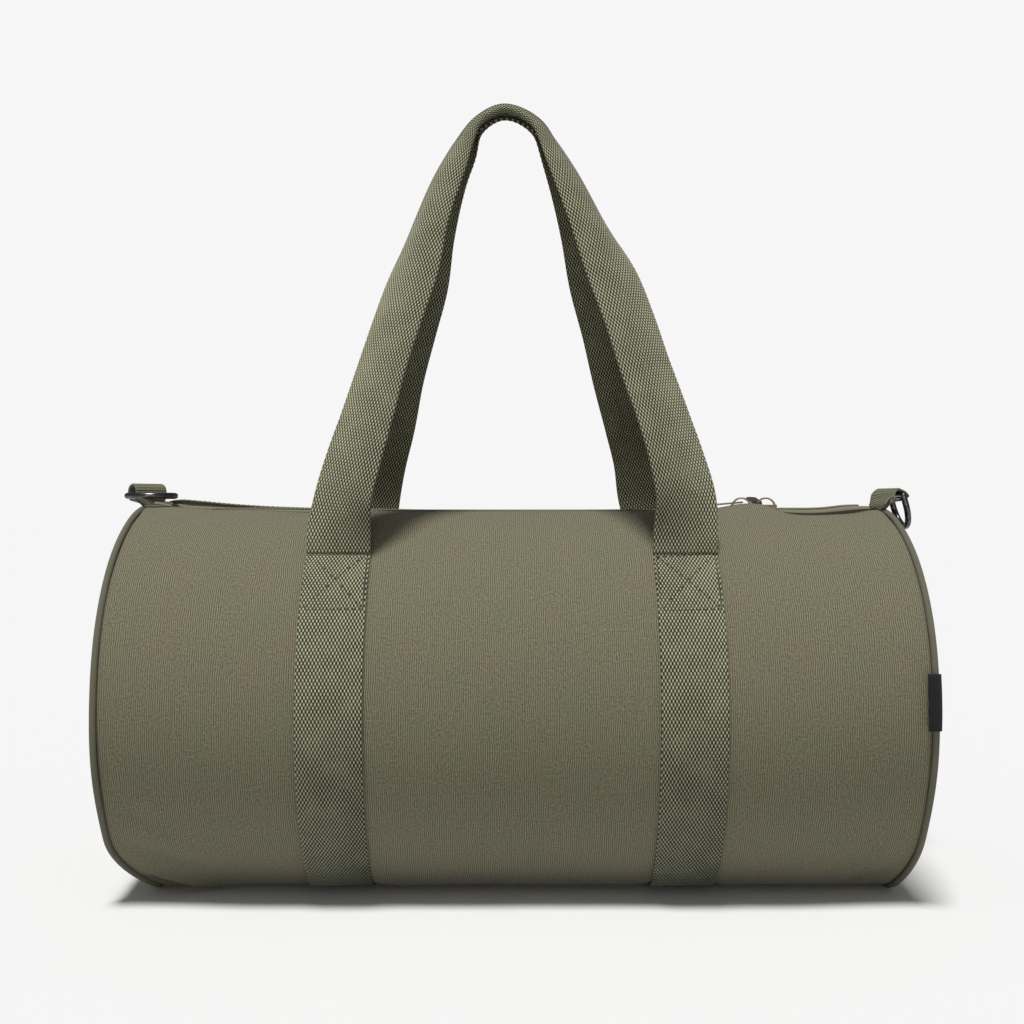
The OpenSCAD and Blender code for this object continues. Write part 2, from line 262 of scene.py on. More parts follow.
# ---------------------------------------------------------------- materials
class Shader:
    """Builds one node material. Colours are linear, and lengths are in millimetres of the UV map."""

    def __init__(self, name):
        self.material = bpy.data.materials.new(name)
        self.material.use_nodes = True
        self.nodes = self.material.node_tree.nodes
        self.links = self.material.node_tree.links
        self.shader = self.nodes["Principled BSDF"]

    def add(self, kind, inputs=None, **settings):
        node = self.nodes.new(kind)
        for key, value in settings.items():
            setattr(node, key, value)
        for key, value in (inputs or {}).items():
            self.put(node.inputs[key], value)
        return node

    def put(self, socket, value):
        if isinstance(value, bpy.types.NodeSocket):
            self.links.new(value, socket)
        else:
            socket.default_value = value

    def math(self, operation, a, b=0.0):
        return self.add("ShaderNodeMath", {0: a, 1: b}, operation=operation).outputs[0]

    def uv_mm(self):
        uv = self.add("ShaderNodeTexCoord").outputs["UV"]
        scaled = self.add("ShaderNodeVectorMath", {0: uv, 1: (1000, 1000, 1000)}, operation="MULTIPLY")
        split = self.add("ShaderNodeSeparateXYZ", {0: scaled.outputs[0]})
        return scaled.outputs[0], split.outputs[0], split.outputs[1]

    def object_mm(self):
        place = self.add("ShaderNodeTexCoord").outputs["Object"]
        return self.add("ShaderNodeVectorMath", {0: place, 1: (1000, 1000, 1000)},
                        operation="MULTIPLY").outputs[0]

    def noise(self, vector, size, detail=2.0, rough=0.5):
        return self.add("ShaderNodeTexNoise", {"Vector": vector, "Scale": 1 / size, "Detail": detail,
                                               "Roughness": rough}).outputs["Fac"]

    def ramp(self, value, low, high):
        return self.add("ShaderNodeMapRange", {"Value": value, "From Min": low, "From Max": high}).outputs[0]

    def mix(self, factor, a, b, blend="MIX"):
        node = self.add("ShaderNodeMix", data_type="RGBA", blend_type=blend)
        self.put(node.inputs[0], factor)
        for socket, value in ((node.inputs[6], a), (node.inputs[7], b)):
            self.put(socket, (*value, 1) if isinstance(value, tuple) else value)
        return node.outputs[2]

    def wave(self, value, pitch):
        """A wave from 0 to 1 and back for each pitch."""
        turn = self.math("SINE", self.math("MULTIPLY", value, TAU / pitch))
        return self.ramp(turn, -1.0, 1.0)

    def lattice(self, u, v, pitch_u, pitch_v):
        """1 on the crossings of a staggered weave and 0 in its gaps."""
        wave_u = self.math("COSINE", self.math("MULTIPLY", u, math.pi / pitch_u))
        wave_v = self.math("COSINE", self.math("MULTIPLY", v, math.pi / pitch_v))
        return self.ramp(self.math("MULTIPLY", wave_u, wave_v), -1.0, 1.0)

    def bump(self, height, distance, below=None):
        inputs = {"Height": height, "Distance": distance, "Strength": 1.0}
        if below is not None:
            inputs["Normal"] = below
        return self.add("ShaderNodeBump", inputs).outputs[0]

    def finish(self, color, roughness, normal=None, **constants):
        self.put(self.shader.inputs["Base Color"], (*color, 1) if isinstance(color, tuple) else color)
        self.put(self.shader.inputs["Roughness"], roughness)
        if normal is not None:
            self.links.new(normal, self.shader.inputs["Normal"])
        for key, value in constants.items():
            self.shader.inputs[key.replace("_", " ")].default_value = value
        return self.material


# The canvas: the tops of its yarns, the gaps between them, and its pitches in millimetres
CANVAS_LIGHT = (0.253, 0.235, 0.153)
CANVAS_DARK = (0.094, 0.088, 0.055)
YARN_PITCH = 0.62
RIB_PITCH = 1.28
# The webbing's yarn colour, and the near-black painted shade of the gaps between its beads
WEB_LIGHT = (0.52, 0.51, 0.32)
WEB_GAP_SHADE = (0.016, 0.017, 0.009)
# Painted shade: webbing that faces down is darkened by this factor, as if it got less light from above
DOWN_FACING_SHADE = (0.56, 0.58, 0.60)


def canvas_material(name):
    """Cotton canvas: fine ribs round the barrel over a plain weave, worn a little unevenly."""
    s = Shader(name)
    place, u, v = s.uv_mm()
    weave = s.lattice(u, v, YARN_PITCH, YARN_PITCH)
    grain = s.noise(place, 1.4, 2.0, 0.6)
    sway = s.math("MULTIPLY", s.noise(place, 11.0, 2.0), 2.4)
    ribs = s.wave(s.math("ADD", u, sway), RIB_PITCH)
    strength = s.ramp(s.noise(place, 16.0, 2.0), 0.30, 0.68)
    ribs = s.mix(strength, (0.5,) * 3, ribs)
    tone = s.math("ADD", s.math("MULTIPLY", weave, 0.08), s.math("MULTIPLY", grain, 0.46))
    tone = s.math("ADD", tone, s.math("MULTIPLY", ribs, 0.46))
    color = s.mix(s.ramp(tone, 0.385, 0.645), CANVAS_DARK, CANVAS_LIGHT)
    warmth = s.ramp(s.noise(place, 24.0, 2.0), 0.35, 0.65)
    tinge = s.mix(warmth, (0.955, 1.0, 0.965), (1.03, 0.985, 0.975))
    color = s.mix(1.0, color, tinge, "MULTIPLY")
    normal = s.bump(weave, 0.08 * MM)
    normal = s.bump(ribs, 0.12 * MM, normal)
    normal = s.bump(grain, 0.16 * MM, normal)
    return s.finish(color, 0.92, normal, Sheen_Weight=0.12, Sheen_Roughness=0.6, Specular_IOR_Level=0.25)


def webbing_material():
    """Heavy webbing: light raised beads in staggered rows, with painted shade in the gaps between them and on
    faces that point down.
    """
    s = Shader("webbing")
    place, u, v = s.uv_mm()
    wobble = s.noise(place, 3.0, 1.0)
    u = s.math("ADD", u, s.math("MULTIPLY", wobble, 0.35))
    beads = s.lattice(u, v, BEAD_ACROSS / MM, BEAD_ALONG / MM)
    fibre_map = s.add("ShaderNodeVectorMath", {0: place, 1: (5.0, 0.6, 1.0)}, operation="MULTIPLY")
    fibre = s.noise(fibre_map.outputs[0], 1.0, 2.0)
    drift = s.noise(place, 18.0, 2.0)
    tone = s.math("ADD", s.ramp(beads, 0.42, 0.78), s.math("MULTIPLY", s.math("SUBTRACT", fibre, 0.5), 0.5))
    tone = s.math("ADD", tone, s.math("MULTIPLY", s.math("SUBTRACT", drift, 0.5), 0.35))
    # Painted shade: the gaps between the beads are coloured near black
    color = s.mix(s.ramp(tone, 0.0, 1.0), WEB_GAP_SHADE, WEB_LIGHT)
    # Painted shade: the webbing's colour is darkened where its surface faces down, away from the light above
    facing = s.add("ShaderNodeSeparateXYZ", {0: s.add("ShaderNodeNewGeometry").outputs["Normal"]})
    top_lit_share = s.ramp(facing.outputs[2], -0.75, 0.15)
    color = s.mix(1.0, color, s.mix(top_lit_share, DOWN_FACING_SHADE, (1.0, 1.0, 1.0)), "MULTIPLY")
    normal = s.bump(beads, 0.55 * MM)
    normal = s.bump(fibre, 0.12 * MM, normal)
    return s.finish(color, 0.8, normal, Sheen_Weight=0.1, Sheen_Roughness=0.5, Specular_IOR_Level=0.35)


def ribbed_material(name, light, dark, pitch, shade=None, margin=0):
    """Grosgrain: fine ribs across the length of the strip. Past margin, in millimetres from the line
    where the strip's width is measured from, it has the colour shade: a painted shade that stands for the
    shadow in the groove under the cloth's hem."""
    s = Shader(name)
    place, u, v = s.uv_mm()
    ribs = s.wave(v, pitch)
    fibre = s.noise(place, 0.8, 2.0)
    tone = s.math("ADD", s.math("MULTIPLY", ribs, 0.7), s.math("MULTIPLY", fibre, 0.4))
    color = s.mix(s.ramp(tone, 0.1, 0.95), dark, light)
    # Painted shade: past the margin the strip takes the dark colour, for the shadow in the groove under the
    # cloth's hem
    if shade:
        color = s.mix(s.ramp(u, margin - 0.25, margin + 0.25), color, shade)
    normal = s.bump(ribs, 0.25 * MM)
    normal = s.bump(fibre, 0.10 * MM, normal)
    return s.finish(color, 0.85, normal, Specular_IOR_Level=0.3, Sheen_Weight=0.08)


def cloth_strip_material(name, light, dark, size):
    """Plain narrow cloth, such as piping, binding or a label, with a fine diagonal twill."""
    s = Shader(name)
    place, u, v = s.uv_mm()
    twill = s.wave(s.math("ADD", u, v), size)
    grain = s.noise(place, 0.9, 2.0, 0.7)
    tone = s.math("ADD", s.math("MULTIPLY", twill, 0.45), s.math("MULTIPLY", grain, 0.6))
    color = s.mix(s.ramp(tone, 0.15, 0.9), dark, light)
    normal = s.bump(twill, 0.15 * MM)
    normal = s.bump(grain, 0.12 * MM, normal)
    return s.finish(color, 0.88, normal, Specular_IOR_Level=0.3, Sheen_Weight=0.08)


def metal_material(name, color, worn, roughness):
    """Plated metal, with brighter worn patches and fine scratches."""
    s = Shader(name)
    place = s.object_mm()
    patches = s.noise(place, 2.2, 3.0, 0.6)
    scratch_map = s.add("ShaderNodeVectorMath", {0: place, 1: (0.4, 4.0, 4.0)}, operation="MULTIPLY")
    scratches = s.noise(scratch_map.outputs[0], 0.5, 2.0)
    edge = s.add("ShaderNodeNewGeometry").outputs["Pointiness"]
    wear = s.math("ADD", s.ramp(patches, 0.5, 0.8), s.ramp(edge, 0.52, 0.62))
    finish = s.mix(s.ramp(wear, 0.0, 1.6), color, worn)
    rough = s.math("ADD", roughness, s.math("MULTIPLY", s.math("SUBTRACT", scratches, 0.5), 0.18))
    return s.finish(finish, rough, s.bump(scratches, 0.02 * MM), Metallic=1.0)


def plastic_material(name, light, dark):
    """Nylon monofilament: a soft satin plastic."""
    s = Shader(name)
    grain = s.noise(s.object_mm(), 0.7, 2.0)
    color = s.mix(s.ramp(grain, 0.3, 0.7), dark, light)
    return s.finish(color, 0.42, s.bump(grain, 0.03 * MM), Specular_IOR_Level=0.5)


def thread_material(name, light, dark):
    """Twisted sewing thread."""
    s = Shader(name)
    grain = s.noise(s.object_mm(), 0.5, 2.0)
    color = s.mix(s.ramp(grain, 0.3, 0.7), dark, light)
    return s.finish(color, 0.7, s.bump(grain, 0.08 * MM), Specular_IOR_Level=0.4)


def dress(obj, material):
    """Gives an object its one material."""
    obj.data.materials.clear()
    obj.data.materials.append(material)
    return obj


# ---------------------------------------------------------------- the barrel's form
END_BLEND = 90 * MM
SEAM_TUCK = 2.5 * MM
SEAM_R = RIM_R - 1.0 * PIPING_R
SEAM_DIP = 0.8 * MM
RIM_SETTLE = 0.9 * MM
UNDER_STRETCH = 0.055
# How much more the underside gives at the end seams
END_STRETCH = 0.095
# How far the top of the right end seam sags
RIGHT_SAG = 2.6 * MM
# How far the stuffing pushes the ends out past their seams on the pattern
LEFT_REACH = 0.8 * MM
RIGHT_REACH = 3.7 * MM
FLOOR_SOFT = 9 * MM
CLOTH_LIFT = 0.4 * MM
STRAP_BED = WEB_T + 0.35 * MM
# How far the bottom corners are pushed in under the bag: left front, left back, right front, right back
TUCK_UNDER = {(-1, -1): 26 * MM, (-1, 1): 9 * MM, (1, -1): 10 * MM, (1, 1): 8 * MM}
TUCK_HEIGHT = 42 * MM
# Slack folds: start x and angle, end x and angle (degrees), width and depth in millimetres
FOLDS = [
    (-243, 146, -190, 159, 5.5, 8.0),
    (-240, 130, -180, 141, 7.0, 1.4),
    (-238, 118, -205, 122, 5.0, 0.7),
    (-243, 10, -196, 24, 5.0, 0.8),
    (-241, 20, -208, 38, 6.0, 0.6),
    (190, 26, 236, 14, 4.0, 1.1),
    (200, 36, 240, 30, 7.0, 0.8),
    (238, 140, 205, 150, 6.0, 1.2),
    (-80, 30, -30, 24, 9.0, 0.5),
    (130, 60, 150, 80, 8.0, 0.5),
    (-240, -20, -200, -36, 6.0, 1.0),
    (240, -16, 195, -30, 6.0, 1.2),
    (238, -130, 190, -142, 7.0, 1.6),
    (-238, -134, -196, -142, 7.0, 1.3),
    (60, -70, 82, -110, 8.0, 0.6),
]
# Height that the cloth beside the zip stands above the plain barrel, along x: (x, front, back)
EDGE_LIFT = [(-246, 2.6, 2.0), (-238, 2.3, 4.8), (-230, 1.5, 6.8), (-212, 0.5, 5.6), (-199, 0.0, 4.6),
             (-182, 0.5, 3.7), (-170, 0.7, 3.2), (-151, -0.5, 2.6), (-137, -1.1, 2.1), (-100, -0.2, 0.8),
             (60, 0.2, 0.1), (125, 0.3, 0.3), (142, 2.4, 0.6), (152, 4.6, 0.9), (165, 5.4, 1.0),
             (173, 4.2, 0.9), (181, -0.2, 0.8), (190, -2.2, 1.0), (200, -2.6, 1.4), (212, -2.0, 2.0),
             (228, -0.9, 2.6), (240, 1.6, 2.0), (246, 1.8, 1.2)]


def eased(x, stations, column, reach=5 * MM):
    """A column of a table of stations along x, in millimetres, at x, with its corners rounded off."""
    points = np.array(stations, float) * MM
    shifts = np.linspace(-reach, reach, 9)
    return sum(np.interp(x + shift, points[:, 0], points[:, column]) for shift in shifts) / len(shifts)


def undulation(x, angle):
    """Slow unevenness of stuffed cloth, in metres."""
    waves = [(31, 1.0, 0.3, 0.32), (47, 2.0, 1.9, 0.28), (19, 3.0, 4.4, 0.34), (73, 1.5, 2.7, 0.16),
             (58, 4.0, 0.8, 0.16), (96, 5.5, 5.1, 0.09), (120, 3.4, 3.6, 0.07)]
    total = 0
    for per_metre, turns, phase, size in waves:
        total = total + size * np.sin(per_metre * x + phase) * np.cos(turns * angle + 1.7 * phase)
    return total * MM


def fold_depth(x, angle):
    """How far the slack folds pull the cloth in, in metres."""
    depth = 0
    s = angle * BODY_R
    for x0, a0, x1, a1, width, deep in FOLDS:
        ax, ay = x0 * MM, math.radians(a0) * BODY_R
        bx, by = x1 * MM, math.radians(a1) * BODY_R
        length2 = (bx - ax) ** 2 + (by - ay) ** 2
        t = np.clip(((x - ax) * (bx - ax) + (s - ay) * (by - ay)) / length2, 0, 1)
        gap = np.hypot(x - ax - t * (bx - ax), s - ay - t * (by - ay))
        taper = np.sin(np.pi * np.clip(0.12 + 0.88 * t, 0, 1)) ** 0.8
        side = gap / (width * MM)
        depth = depth + deep * MM * taper * (np.exp(-side * side) - 0.35 * np.exp(-((side - 2.0) ** 2)))
    return depth


def strap_near(x):
    """1 under the straps' webbing, 0 away from it."""
    return 1 - smooth((np.abs(np.abs(x) - STRAP_X) - STRAP_W / 2 + 1 * MM) / (9 * MM))


def end_share(x):
    """0 along the barrel's middle, rising to 1 at its end seams."""
    return smooth((np.abs(x) - (BODY_END - END_BLEND)) / END_BLEND)


def top_sag(x, angle):
    """How far the top of the right end hangs below a full circle."""
    return np.where(x > 0, RIGHT_SAG, 0) * end_share(x) * np.clip(np.cos(angle), 0, 1) ** 4


def end_reach(x):
    """How far the stuffing pushes a point at x outwards along the bag."""
    return np.where(x > 0, RIGHT_REACH, -LEFT_REACH) * end_share(x)


def settled(points, ground=CLOTH_LIFT):
    """Lets points of the stuffed barrel sag onto the floor, with the bottom corners pushed in."""
    x, y, z = points[..., 0], points[..., 1], points[..., 2]
    low = np.clip((AXIS_Z - z) / BODY_R, 0, 1.2)
    stretch = UNDER_STRETCH + END_STRETCH * end_share(x)
    over = z - stretch * BODY_R * low * smooth(low) - ground
    soft = np.where(over > FLOOR_SOFT, over,
                    np.where(over < -FLOOR_SOFT, 0, (over + FLOOR_SOFT) ** 2 / (4 * FLOOR_SOFT)))
    near = np.clip(1 - soft / TUCK_HEIGHT, 0, 1) ** 2 * smooth((np.abs(x) - 150 * MM) / (100 * MM))
    back = smooth((y + 64 * MM) / (34 * MM))
    reach = np.where(x < 0, TUCK_UNDER[-1, -1] * (1 - back) + TUCK_UNDER[-1, 1] * back,
                     TUCK_UNDER[1, -1] * (1 - back) + TUCK_UNDER[1, 1] * back)
    return np.stack([x - np.sign(x) * reach * near, y, ground + soft], -1)


def barrel(x, angle):
    """Points of the body cloth, at x along the bag and angle round it. Angle may run past half a turn."""
    x, angle = np.broadcast_arrays(np.asarray(x, float), np.asarray(angle, float))
    end = end_share(x)
    tuck = smooth((np.abs(x) - (BODY_END - SEAM_TUCK)) / SEAM_TUCK)
    radius = BODY_R + (SEAM_R - BODY_R) * end - SEAM_DIP * tuck
    centre = AXIS_Z + (RIM_Z - RIM_SETTLE - AXIS_Z) * end
    turned = (angle + math.pi) % TAU - math.pi
    calm = smooth((BODY_END - np.abs(x)) / (14 * MM)) * smooth((np.abs(turned) - SLOT) / 0.10)
    radius = radius + calm * (undulation(x, turned) - fold_depth(x, turned))
    radius = radius - 0.5 * MM * strap_near(x) * smooth((np.abs(turned) - ATTACH + 0.03) / 0.06)
    lift = np.where(turned > 0, eased(x, EDGE_LIFT, 1), eased(x, EDGE_LIFT, 2))
    radius = radius + lift * (1 - smooth((np.abs(turned) - SLOT - 0.04) / 0.20))
    y = -radius * np.sin(angle)
    z = centre + radius * np.cos(angle) - top_sag(x, angle)
    return settled(np.stack([x + end_reach(x), y, z], -1), CLOTH_LIFT + STRAP_BED * strap_near(x) * (1 - end))


def rim(side, angle, radius, out=0.0):
    """Points round an end of the bag, out being the distance outwards from the seam's plane."""
    radius, angle, out = np.broadcast_arrays(np.asarray(radius, float), np.asarray(angle, float), out)
    x = side * (BODY_END + out)
    height = RIM_Z - RIM_SETTLE + radius * np.cos(angle) - top_sag(x, angle) * radius / RIM_R
    points = np.stack([x + end_reach(x), -radius * np.sin(angle), height], -1)
    return settled(points)


def barrel_normal(x, angle):
    """Outward direction of the body cloth."""
    step = 1e-4
    along = barrel(x + step, angle) - barrel(x - step, angle)
    round_ = barrel(x, angle + step) - barrel(x, angle - step)
    return unit(np.cross(round_, along))


# ---------------------------------------------------------------- how the mouth opens
WINDOW_LEFT = (-192 * MM, -70 * MM)
WINDOW_RIGHT = (152 * MM, 66 * MM)
TURN_FROM = ATTACH - 0.02
TURN_TO = FOLD - 0.14


def mouth_window(x):
    """Share of the lips' turn that the cloth takes at x: none at the ends of the mouth, all in its middle."""
    left = smooth((x - WINDOW_LEFT[0]) / (WINDOW_LEFT[1] - WINDOW_LEFT[0]))
    right = smooth((x - WINDOW_RIGHT[0]) / (WINDOW_RIGHT[1] - WINDOW_RIGHT[0]))
    return left * right


def blend_to_lip(obj, side):
    """Bends a piece from the root to one lip, less and less towards the ends of the mouth."""
    name = "front" if side < 0 else "back"
    start = (0, side * BODY_R * math.sin(TURN_FROM), AXIS_Z + BODY_R * math.cos(TURN_FROM))
    end = (0, side * BODY_R * math.sin(TURN_TO), AXIS_Z + BODY_R * math.cos(TURN_TO))
    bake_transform(obj, "root", f"lip_{name}", start=start, end=end)
    count = len(obj.data.vertices)
    place = np.zeros(count * 3, np.float32)
    obj.data.vertices.foreach_get("co", place)
    place = place.reshape(-1, 3)
    weight = np.zeros(count, np.float32)
    values = obj.data.attributes["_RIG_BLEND"].data
    values.foreach_get("value", weight)
    above = place[:, 2] > AXIS_Z + 0.5 * BODY_R
    weight = weight * mouth_window(place[:, 0]) * above
    values.foreach_set("value", weight.astype(np.float32))


# ---------------------------------------------------------------- cloth pieces
CLOTH_T = 1.2 * MM
SEAM_TAPE_R = 1.25 * MM


def body_half(side):
    """The body cloth from the zip down to the middle of the underside, at the front or the back."""
    xs = np.linspace(-BODY_END, BODY_END, 247)
    turns = np.concatenate([np.linspace(SLOT, 0.75, 34)[:-1], np.linspace(0.75, math.pi, 96)])
    angle = -side * turns
    grid_x, grid_a = np.meshgrid(xs, angle, indexing="ij")
    points = barrel(grid_x, grid_a)
    uv = np.stack([grid_x, grid_a * BODY_R], -1)
    obj = grid_object(at_face("body_cloth", side), points, uv)
    face_out(obj)
    return thickened(obj, CLOTH_T)


def face_out(obj):
    """Flips a sheet whose faces point towards the barrel's axis instead of away from it."""
    mesh = obj.data
    middle = mesh.polygons[len(mesh.polygons) // 2]
    away = middle.center - Vector((middle.center.x, 0, AXIS_Z))
    if away.dot(middle.normal) < 0:
        mesh.flip_normals()


def end_cloth(side):
    """A round end, bulging a little from the stuffing, puckered where it meets the seam."""
    rings = 44
    spokes = 180
    dome = 6.0 * MM
    start = 1.2 * MM
    edge = RIM_R - 1.1 * PIPING_R
    share = np.linspace(0, 1, rings + 1)
    share[0] = 0.002
    turn = np.linspace(0, TAU, spokes, endpoint=False)
    grid_r, grid_a = np.meshgrid(share, turn, indexing="ij")
    pucker = 0.35 * MM * np.sin(23 * grid_a + 1.1 * np.sin(3 * grid_a)) * smooth((grid_r - 0.72) / 0.25)
    lift = start + dome * (1 - grid_r ** 2.6) + pucker * (1 - smooth((grid_r - 0.97) / 0.03))
    lift = lift + 0.8 * MM * np.sin(2 * grid_a + 0.7) * grid_r * (1 - grid_r)
    points = rim(side, grid_a, edge * grid_r, lift)
    wrapped = np.append(turn, TAU)
    uv = np.stack([edge * share[:, None] * np.sin(wrapped), edge * share[:, None] * np.cos(wrapped)], -1)
    obj = grid_object(at_end("end_cloth", side), points, uv, wrap_cols=True)
    work = bmesh.new()
    work.from_mesh(obj.data)
    bmesh.ops.holes_fill(work, edges=[e for e in work.edges if e.is_boundary and e.calc_length() < 1e-4])
    bmesh.ops.recalc_face_normals(work, faces=work.faces)
    work.to_mesh(obj.data)
    work.free()
    if obj.data.polygons[len(obj.data.polygons) // 2].normal.x * side < 0:
        obj.data.flip_normals()
    return thickened(obj, CLOTH_T)


def piping_path(side):
    """Middle line of the piping, slightly uneven along its way round."""
    turn = np.linspace(0, TAU, 360, endpoint=False)
    radius = RIM_R - PIPING_SEEN + 0.3 * MM * np.sin(5 * turn + side) + 0.2 * MM * np.sin(11 * turn)
    out = PIPING_SEEN - 0.7 * MM + 0.2 * MM * np.sin(7 * turn + 1)
    path = rim(side, turn, radius, out)
    path[:, 2] = np.maximum(path[:, 2], PIPING_SEEN + 0.2 * MM)
    return path


def piping_tube(side):
    """The cloth round the cord in an end seam."""
    name = at_end("piping_cloth", side)
    return tube(name, piping_path(side), PIPING_SEEN, 14, closed=True, up=(side, 0, 0))


def piping_core(side):
    """The cord inside the piping."""
    name = at_end("piping_core", side)
    return tube(name, piping_path(side)[::3], CORD_SEEN, 10, closed=True, up=(side, 0, 0))


def seam_tape(side):
    """The binding folded round the end seam's raw edges, just inside the cloth."""
    turn = np.linspace(0, TAU, 240, endpoint=False)
    x = side * (BODY_END - 1.8 * MM)
    path = barrel(x, turn)
    inward = np.stack([0 * turn, -path[:, 1], AXIS_Z - path[:, 2]], 1)
    path = path + unit(inward) * (CLOTH_T + SEAM_TAPE_R + 0.45 * MM)
    return tube(at_end("seam_tape", side), path, SEAM_TAPE_R, 10, closed=True, up=(side, 0, 0))


# ---------------------------------------------------------------- webbing
BEAD_ACROSS = 1.08 * MM
BEAD_ALONG = 2.0 * MM
RELIEF = 0.2 * MM


def webbing_strip(name, path, across, out, width, thick, curl=None, flat=None):
    """Webbing along a path. across and out are the directions of its width and of its outer face at each
    point. curl is the turn of its section from edge to edge, flat how much that section is pressed."""
    rows = len(path)
    half = int(round(width / BEAD_ACROSS / 2))
    s = np.linspace(-width / 2, width / 2, 2 * half + 1)
    curl = np.zeros(rows) if curl is None else np.asarray(curl, float)
    flat = np.ones(rows) if flat is None else np.asarray(flat, float)
    curl = np.maximum(curl, 1e-4)
    radius = (width / curl)[:, None]
    bend = s[None] / radius
    side = radius * np.sin(bend)
    depth = radius * (1 - np.cos(bend)) * flat[:, None]
    depth = depth - depth.max(1, keepdims=True) / 2
    face = unit(np.stack([np.sin(bend) * flat[:, None], np.cos(bend)], -1))
    edge = np.clip((width / 2 - np.abs(s)) / (1.3 * MM), 0, 1)
    half_t = thick / 2 * (0.45 + 0.55 * np.sqrt(1 - (1 - edge) ** 2))
    i, j = np.meshgrid(np.arange(rows), np.arange(len(s)), indexing="ij")
    relief = np.where((i + j) % 2 == 0, RELIEF, -RELIEF)
    loops = []
    for sign in (1, -1):
        off = sign * (half_t[None] + relief)
        a = side + face[..., 0] * off
        b = -depth + face[..., 1] * off
        layer = path[:, None] + across[:, None] * a[..., None] + out[:, None] * b[..., None]
        loops.append(layer if sign > 0 else layer[:, ::-1])
    points = np.concatenate(loops, 1)
    run = np.round(run_along(path) / BEAD_ALONG) * BEAD_ALONG
    u = np.concatenate([s, s[::-1], s[:1]])
    uv = np.stack(np.broadcast_arrays(u[None], run[:, None]), -1)
    return grid_object(name, points, uv, wrap_cols=True, caps=True)


STRAP_GAP = 0.12 * MM


def girth_path(x, turn_start, turn_end):
    """Middle line of the strap's webbing as it lies on the barrel, and the way its outer face looks."""
    angle = np.linspace(turn_start, turn_end, 900)
    line = barrel(x + 0 * angle, angle)
    out = barrel_normal(x + 0 * angle, angle)
    out[:, 0] = 0
    out = unit(out)
    line = line + out * (STRAP_GAP + WEB_T / 2)
    even = resampled(line, BEAD_ALONG)
    return even, unit(np.cross(tangents(even), np.array([1.0, 0, 0])))


def girth_strap(side):
    """The webbing sewn round the barrel, under it from one handle's foot to the other's."""
    path, out = girth_path(side * STRAP_X, ATTACH, TAU - ATTACH)
    if out[0, 2] < 0:
        out = -out
    across = np.tile(np.array([1.0, 0, 0]), (len(path), 1))
    return webbing_strip(at_end("girth_webbing", side), path, across, out, STRAP_W, WEB_T - 0.1 * MM)


def flowing(stations, step):
    """Evenly spaced samples of a smooth line through stations, whose first three columns are a place."""
    stations = np.array(stations, float)
    run = run_along(stations[:, :3])
    slope = np.gradient(stations, run, axis=0)
    fine = np.linspace(0, run[-1], 2000)
    k = np.clip(np.searchsorted(run, fine, side="right") - 1, 0, len(run) - 2)
    span = run[k + 1] - run[k]
    t = ((fine - run[k]) / span)[:, None]
    span = span[:, None]
    line = (stations[k] * (1 + 2 * t) * (1 - t) ** 2 + slope[k] * span * t * (1 - t) ** 2
            + stations[k + 1] * t * t * (3 - 2 * t) - slope[k + 1] * span * t * t * (1 - t))
    length = run_along(line[:, :3])
    return at_distance(np.linspace(0, length[-1], int(round(length[-1] / step)) + 1), length, line)


GRIP_Z = {-1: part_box("handle_front")[1].z - 4.4 * MM, 1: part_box("handle_back")[1].z - 4.4 * MM}
# The handles' middle lines in millimetres: distance below the grip, distance from the bag's middle, x of
# the front handle's left and right legs, x of the back handle's left and right legs; then the turn of the
# webbing in a left and a right leg, and the curl of its section, in degrees
LEG = [
    (290, 80, -108, 108, -107, 106, 2, 0, 0),
    (265, 80, -106, 109, -103, 99, 20, 15, 10),
    (240, 78, -100, 104, -98, 95, 25, 25, 20),
    (215, 73, -93, 97, -91, 88, 30, 30, 25),
    (180, 63, -84, 86, -83, 78, 35, 30, 35),
    (145, 53, -74, 76, -73, 69, 35, 30, 50),
    (115, 43, -65, 66, -64, 60, 35, 30, 70),
    (80, 32, -56, 52, -56, 50, 50, 50, 110),
    (40, 20, -41, 34, -42, 35, 60, 65, 170),
    (25, 15, -34, 26, -33, 27, 70, 75, 200),
    (10, 12, -24, 16, -25, 18, 85, 85, 235),
]
GRIP_X = -6
GRIP_Y = 9
GRIP_TURN = 90
GRIP_CURL = 255
GRIP_FLAT = 0.42


def handle_webbing(side):
    """A whole handle: flat where it rises from its feet, turning and curling into the grip at its top."""
    foot_r = BODY_R + STRAP_GAP + WEB_T / 2
    foot_angle = ATTACH + 0.012
    foot_y, foot_z = foot_r * math.sin(foot_angle), AXIS_Z + foot_r * math.cos(foot_angle)
    foot = [(end * STRAP_X, side * foot_y, foot_z, 0, 0) for end in (-1, 1)]
    first = 2 if side < 0 else 4
    legs = [[(row[first + leg] * MM, side * row[1] * MM, GRIP_Z[side] - row[0] * MM, row[6 + leg], row[8])
             for row in LEG] for leg in (0, 1)]
    grip = (GRIP_X * MM, side * GRIP_Y * MM, GRIP_Z[side], GRIP_TURN, GRIP_CURL)
    line = flowing([foot[0], *legs[0], grip, *legs[1][::-1], foot[1]], BEAD_ALONG)
    path, twist, curl = line[:, :3], np.radians(line[:, 3]), np.radians(line[:, 4])
    tangent = tangents(path)
    inward = unit(np.stack([tangent[:, 2], 0 * twist, -tangent[:, 0]], 1))
    raw = np.cos(twist)[:, None] * inward + np.sin(twist)[:, None] * np.array([0, side, 0])
    across = unit(raw - (raw * tangent).sum(1, keepdims=True) * tangent)
    out = np.cross(tangent, across)
    if out[5, 1] * side < 0:
        out = -out
    flat = 1 - (1 - GRIP_FLAT) * smooth((curl - 1.5) / (math.radians(GRIP_CURL) - 1.5))
    return webbing_strip(at_face("handle_webbing", side), path, across, out, STRAP_W, WEB_T - 0.1 * MM,
                         np.maximum(curl, 0), flat)


